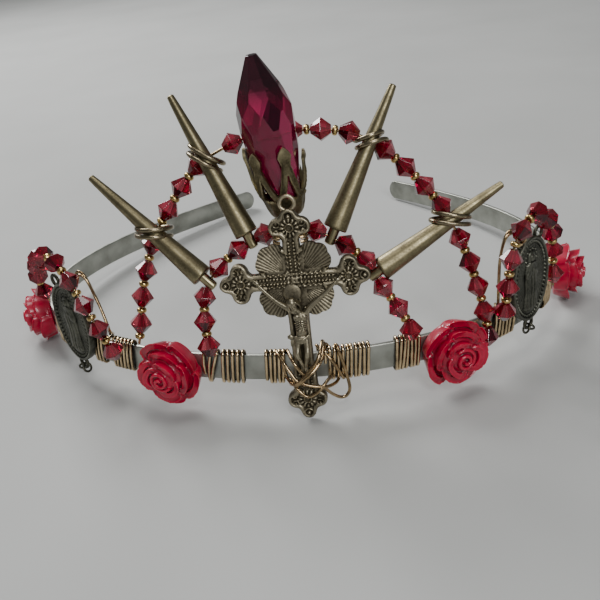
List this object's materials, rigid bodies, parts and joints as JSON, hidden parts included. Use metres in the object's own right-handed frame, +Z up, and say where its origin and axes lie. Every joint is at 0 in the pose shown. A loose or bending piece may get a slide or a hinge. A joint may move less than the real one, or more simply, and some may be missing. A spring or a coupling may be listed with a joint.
{
  "type": "beaded tiara",
  "caption": "Beaded tiara on a bent strip headband: red bead arches, bronze cone spikes, a red crystal point in a claw cup, a small crucifix, oval medals and red rose cabochons",
  "frame": {"origin": "middle of the box's base, on the surface the tiara stands on", "axes": "+X to the wearer's left across the strip's width, +Y from the front of the tiara to its open back, +Z up"},
  "size_m": [0.1667, 0.1458, 0.084],
  "materials": {
    "strip": "satin silver",
    "wire": "dark bronze wire",
    "beads": "faceted deep red",
    "castings": "antique bronze",
    "crystal": "polished facets",
    "roses": "glossy resin"
  },
  "bodies": {
    "root": {"headband": "strip", "wrap_left_temple_rear": "wire", "wrap_left_temple_front": "wire", "wrap_left_arch_foot": "wire", "wrap_left_inner_foot": "wire", "wrap_left_front": "wire", "wrap_centre_left": "wire", "wrap_centre_right": "wire", "wrap_right_inner_foot": "wire", "wrap_right_arch_foot": "wire", "wrap_right_temple": "wire", "spike_left_inner_tie": "wire", "spike_right_inner_tie": "wire", "spike_left_outer_tie": "wire", "spike_right_outer_tie": "wire", "crucifix_binding": "wire", "crucifix_tie": "wire", "medal_hanger_left": "wire", "medal_hanger_right": "wire", "outer_arch": "beads", "inner_arch": "beads", "side_arch_left": "beads", "side_arch_right": "beads", "spike_left_inner": "castings", "spike_right_inner": "castings", "spike_left_outer": "castings", "spike_right_outer": "castings", "crystal_cup": "castings", "crucifix": "castings", "medal_left": "castings", "medal_right": "castings", "medal_ring_left": "castings", "medal_ring_right": "castings", "crystal_point": "crystal", "rose_left_front": "roses", "rose_right_front": "roses", "rose_left_side": "roses", "rose_right_side": "roses"}
  },
  "joints": []
}
